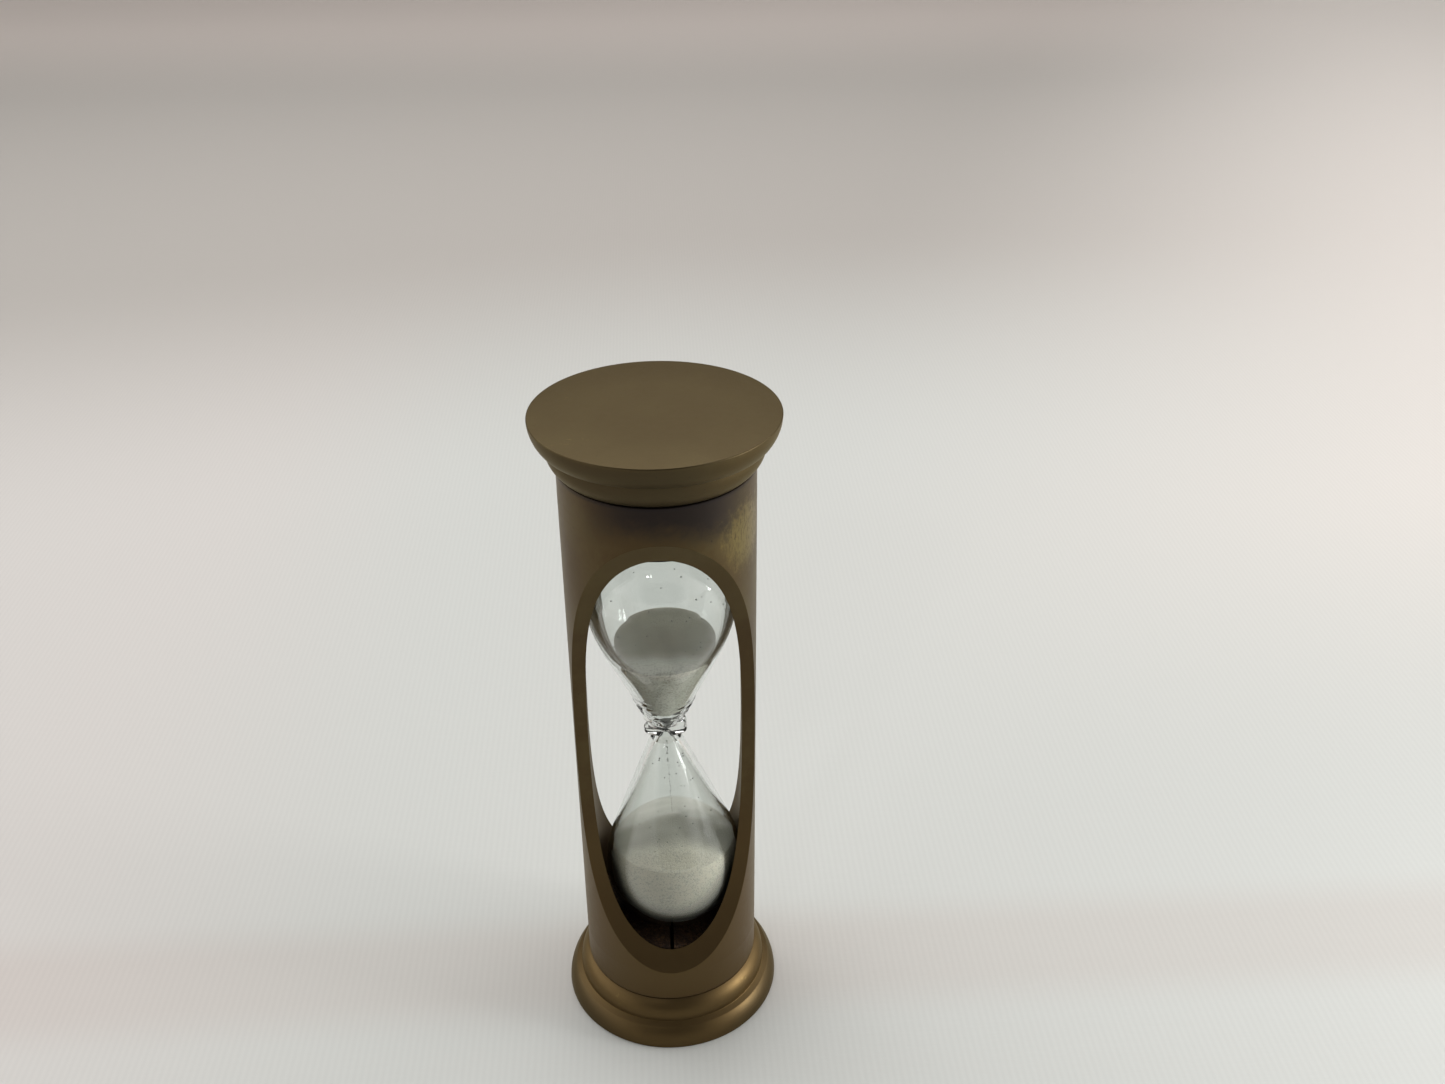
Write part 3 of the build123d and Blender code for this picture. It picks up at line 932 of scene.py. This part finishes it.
class HOURGLASS_OT_vial(bpy.types.Operator):
    """Blow the glass vial with its collar and sealed tip"""

    bl_idname = "hourglass.vial"
    bl_label = "Glass Vial"

    def execute(self, context):
        vial = context.scene.hourglass_vial
        upper = bulb_outline(vial, True)
        lower = bulb_outline(vial, False)[::-1]
        tip = arc((0, VIAL_LOW.z + vial.pip_radius), vial.pip_radius, -math.pi / 2, 0, 12)
        tip[0, 0] = 0
        lower = lower[lower[:, 0] > vial.pip_radius * 1.3]
        half = vial.collar_height / 2
        rise = np.linspace(-1, 1, 31)
        foot = (vial.lower_neck + vial.upper_neck) / 2 + (vial.upper_neck - vial.lower_neck) / 2 * rise
        waist = foot - (foot - vial.waist) * (1 - rise**2)
        collar = np.column_stack([waist, vial.neck_level + half * rise])
        outside = softened(distinct(np.concatenate([tip, lower, collar, upper])), vial.collar_round)
        inside = np.concatenate([room_outline(vial, True)[::-1], room_outline(vial, False)])
        skin = self.worked(turned_surface(outside, 128), vial)
        room = turned_surface(distinct(inside), 128)
        glass = mesh_object("blown_vial", [leaned(skin, vial, False), leaned(room, vial)], wrap=True)
        dress(glass, blown_glass("clear_glass", vial), "case", "clear_glass", "glass_vial")
        return {"FINISHED"}

    def worked(self, skin, vial):
        """Glass as the flame left it: rings over the neck, a bulge at each side of it, and a slant.

        The rings add a sine of the height to the radius, times the square of X over the radius. The bulges
        bring the radius out to the collar's, times the fourth power of X over the radius, and end in an
        eighth power of the height. The slant adds X to the height, and fades out below the neck and up the
        cone.
        """
        half = vial.collar_height / 2
        up = (skin[..., 2] - vial.neck_level) / half
        over = (up - 1) * half / vial.wave_length
        radius = np.maximum(np.hypot(skin[..., 0], skin[..., 1]), 1e-9)
        ring = vial.wave * np.sin(2 * math.pi * over) * np.clip(over, 0, 1)
        ring *= np.clip(vial.wave_count - over, 0, 1)
        side = (skin[..., 0] / radius) ** 2
        low = -vial.collar_foot / half
        bulge = (vial.collar_radius - radius) * (1 - np.clip((2 * up - 1 - low) / (1 - low), -1, 1) ** 8)
        skin[..., :2] *= (1 + (ring * side + bulge * side**2) / radius)[..., None]
        tilt_end = 2.6
        fade = np.clip(up, 0, 1) * np.clip((tilt_end - up) / (tilt_end - 1), 0, 1)
        skin[..., 2] += vial.collar_tilt * fade * skin[..., 0] / vial.collar_radius
        return skin


class HOURGLASS_OT_sand(bpy.types.Operator):
    """Pour the sand: what is left above, the heap below and the falling thread"""

    bl_idname = "hourglass.sand"
    bl_label = "Sand"

    def execute(self, context):
        sand, vial = context.scene.hourglass_sand, context.scene.hourglass_vial
        material = fine_sand("fine_sand", sand, vial)
        above = sand_surface(sand, vial, True) + [plug_surface(sand, vial)]
        heap = sand_surface(sand, vial, False)
        self.pour("sand_above", above, [0.0, 1.0, 0.0], material, "upper_sand")
        self.pour("sand_heap", heap, [0.0, 1.0], material, "lower_sand")
        stuck = [speck_places(sand, vial, upper) for upper in (True, False)]
        fine = 0.6 * sand.grain
        loose = np.concatenate([
            grain_grid(stream_places(sand, vial), fine, 4),
            grain_grid(np.concatenate(stuck), sand.grain, 6),
        ])
        self.pour("loose_grains", list(loose), [2.0] * len(loose), material)
        return {"FINISHED"}

    def pour(self, name, grids, marks, material, *nodes):
        """One piece of sand from its grids, marked 0 on the glass, 1 on an open face and 2 if loose."""
        piece = mesh_object(name, grids, wrap=True, faces_out=True, marks=marks)
        dress(piece, material, "case", "sand", *nodes)


class HOURGLASS_OT_cushions(bpy.types.Operator):
    """Cut the two split leather rings that seat the glass"""

    bl_idname = "hourglass.cushions"
    bl_label = "Cushions"

    def execute(self, context):
        cushion, vial = context.scene.hourglass_cushion, context.scene.hourglass_vial
        leather = dark_leather("cushion_leather", cushion)
        for name, flip, node in (("foot_ring", False, "bottom_cushion"), ("top_ring", True, "top_cushion")):
            piece = mesh_object(name, cushion_grid(cushion, vial, flip), faces_out=True)
            dress(piece, leather, "case", "cushion_leather", node)
        return {"FINISHED"}


class HOURGLASS_OT_stage(bpy.types.Operator):
    """Set up the paper sweep, the camera and the soft light"""

    bl_idname = "hourglass.stage"
    bl_label = "Studio"

    def execute(self, context):
        stage = context.scene.hourglass_stage
        self.lay_paper(stage)
        self.place_camera(context.scene, stage)
        self.light(context.scene, stage)
        context.scene.view_settings.view_transform = "Standard"
        return {"FINISHED"}

    def lay_paper(self, stage):
        """Sweep: flat under the hourglass, then a quarter round up to a wall at the back."""
        near, run, bend, rise, width = -1.4, 1.6, 0.5, 1.2, 3.0
        quarter = arc((run, bend), bend, -math.pi / 2, 0, 24)
        section = np.concatenate([[(near, 0)], quarter, [(run + bend, bend + rise)]])
        sheet = np.broadcast_arrays([-width, width], section[:, :1], section[:, 1:])
        paper = mesh_object("paper_sweep", [np.stack(sheet, axis=-1)])
        paper.data.materials.append(studio_paper("studio_paper", stage))

    def place_camera(self, scene, stage):
        """Camera that looks ahead by its yaw and pitch, and is rolled about that line."""
        yaw, pitch = stage.camera_yaw, stage.camera_pitch
        ahead = Vector((math.sin(yaw) * math.cos(pitch), math.cos(yaw) * math.cos(pitch), -math.sin(pitch)))
        right = Vector((math.cos(yaw), -math.sin(yaw), 0))
        roll = Matrix.Rotation(-stage.camera_roll, 3, ahead)
        right = roll @ right
        axes = Matrix((right, right.cross(ahead), -ahead)).transposed()
        lens = bpy.data.cameras.new("camera")
        lens.lens = stage.camera_lens
        lens.sensor_width = 36.0
        lens.clip_start = 0.01
        camera = bpy.data.objects.new("camera", lens)
        place = Vector((0, -stage.camera_distance, stage.camera_height))
        camera.matrix_world = Matrix.Translation(place) @ axes.to_4x4()
        scene.collection.objects.link(camera)
        scene.camera = camera

    def light(self, scene, stage):
        """Sky that is brighter at the back and the sides, a softbox behind, a low lamp and small glints."""
        world = bpy.data.worlds.new("studio_sky")
        world.use_nodes = True
        scene.world = world
        paint = Paint(world.node_tree)
        x, y = paint.axes(paint.node("ShaderNodeTexCoord", output=0))[:2]
        side = paint.ramp(paint.maths("ABSOLUTE", x), 0.4, 1.0)
        glow = stage.sky_front + stage.sky_back * paint.ramp(y, -0.3, 0.7) + stage.sky_side * side
        sky = paint.node("ShaderNodeBackground", None, {"Color": (1.0, 0.99, 0.97, 1.0), "Strength": glow})
        paint.node("ShaderNodeOutputWorld", None, {"Surface": sky})
        self.lamp(scene, "softbox", (-0.15, 0.55, 0.75), (0.9, 0.5), stage.key_power)
        self.lamp(scene, "right_side", (0.78, -0.12, 0.14), (0.3, 0.2), stage.side_power)
        for name, place, size in (
            ("glint_above", (-0.24, -0.6, 0.57), (0.05, 0.05)),
            ("glint_right", (0.3, -0.08, 0.09), (0.05, 0.04)),
            ("glint_front", (-0.19, -0.78, 0.114), (0.014, 0.005)),
            ("glint_left", (-0.24, -0.022, 0.024), (0.008, 0.0025)),
        ):
            self.lamp(scene, name, place, size, stage.glint_power * math.pi * size[0] * size[1])

    def lamp(self, scene, name, place, size, power):
        """Flat lamp of that size, turned to the hourglass."""
        light = bpy.data.lights.new(name, "AREA")
        light.shape = "RECTANGLE"
        light.size, light.size_y = size
        light.energy = power
        lamp = bpy.data.objects.new(name, light)
        lamp.location = place
        lamp.visible_camera = False
        lamp.rotation_euler = (Vector((0, 0, MIDDLE)) - lamp.location).to_track_quat("-Z", "Y").to_euler()
        scene.collection.objects.link(lamp)


class HOURGLASS_PT_panel(bpy.types.Panel):
    """Lists the pieces in the order they are made"""

    bl_idname = "HOURGLASS_PT_panel"
    bl_label = "Hourglass"
    bl_space_type = "VIEW_3D"
    bl_region_type = "UI"
    bl_category = "Hourglass"

    def draw(self, context):
        for operator in PIECES:
            self.layout.operator(operator.bl_idname)


PIECES = (
    HOURGLASS_OT_caps,
    HOURGLASS_OT_tube,
    HOURGLASS_OT_vial,
    HOURGLASS_OT_sand,
    HOURGLASS_OT_cushions,
    HOURGLASS_OT_stage,
)
GROUPS = {
    "hourglass_case": HourglassCase,
    "hourglass_vial": HourglassVial,
    "hourglass_sand": HourglassSand,
    "hourglass_cushion": HourglassCushion,
    "hourglass_stage": HourglassStage,
}
CLASSES = (*GROUPS.values(), *PIECES, HOURGLASS_PT_panel)


def register():
    for cls in CLASSES:
        bpy.utils.register_class(cls)
    for name, group in GROUPS.items():
        setattr(bpy.types.Scene, name, PointerProperty(type=group))


def unregister():
    for name in GROUPS:
        delattr(bpy.types.Scene, name)
    for cls in reversed(CLASSES):
        bpy.utils.unregister_class(cls)


def main():
    register()
    for operator in PIECES:
        family, action = operator.bl_idname.split(".")
        getattr(getattr(bpy.ops, family), action)()


if __name__ == "__main__":
    main()
